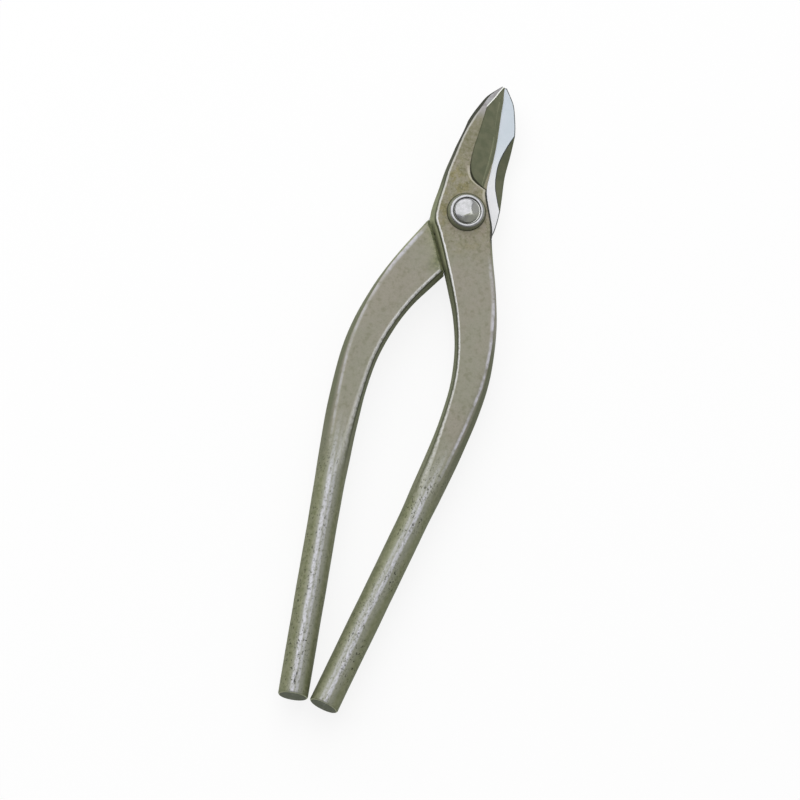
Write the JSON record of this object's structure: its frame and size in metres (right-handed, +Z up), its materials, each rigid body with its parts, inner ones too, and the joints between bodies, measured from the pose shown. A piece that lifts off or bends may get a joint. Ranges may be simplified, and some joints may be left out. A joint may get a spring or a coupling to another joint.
{
  "type": "tin snips",
  "caption": "Forged tin snips with short willow-leaf blades, a collared pivot rivet, bowed arms and straight round handles, shown closed.",
  "frame": {"origin": "where the pivot axis meets the bench, at the middle of the flat on the lower rivet head", "axes": "+Y from the handle ends to the blade tip along the midline of the closed snips, +Z up along the pivot axis, +X to the right, on the side of the upper half's arm"},
  "size_m": [0.0684, 0.3008, 0.0207],
  "materials": {
    "forged_iron": "hand-forged, ground and lightly oxidised, olive grey with pits",
    "polished_steel": "ground and polished hard steel",
    "bright_steel": "turned and hammered bright steel"
  },
  "bodies": {
    "back": {"back_half": "forged_iron", "back_cutting_steel": "polished_steel", "pivot_rivet": "bright_steel", "front_collar": "bright_steel", "back_collar": "bright_steel"},
    "front": {"front_half": "forged_iron", "front_cutting_steel": "polished_steel"}
  },
  "joints": [
    {"name": "pivot", "type": "hinge", "parent": "back", "child": "front", "pos_m": [0, 0, 0.01037], "axis": [0, 0, 1], "range_deg": [0, 50]}
  ]
}
